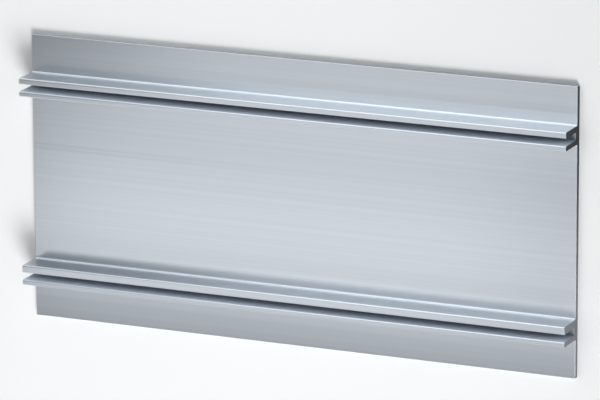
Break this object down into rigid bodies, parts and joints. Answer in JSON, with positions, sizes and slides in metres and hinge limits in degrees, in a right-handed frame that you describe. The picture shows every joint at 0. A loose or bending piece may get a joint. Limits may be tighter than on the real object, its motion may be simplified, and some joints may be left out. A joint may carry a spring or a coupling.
{
  "type": "module mounting rail",
  "caption": "Wide extruded aluminium rail: a flat plate with slotted ribs along its length, for hanging and clamping modules side by side.",
  "frame": {"origin": "centre of the plate's back face, on the floor that the rail lies on", "axes": "+X along the rail, +Y across the plate toward the side that is uppermost when the rail hangs on a wall, +Z out of the plate on the ribs' side"},
  "size_m": [0.5, 0.25, 0.031],
  "materials": {
    "aluminium": "mill-finish extruded aluminium with fine lines along its length and sawn ends"
  },
  "bodies": {
    "root": {"mounting_rail": "aluminium"}
  },
  "joints": []
}
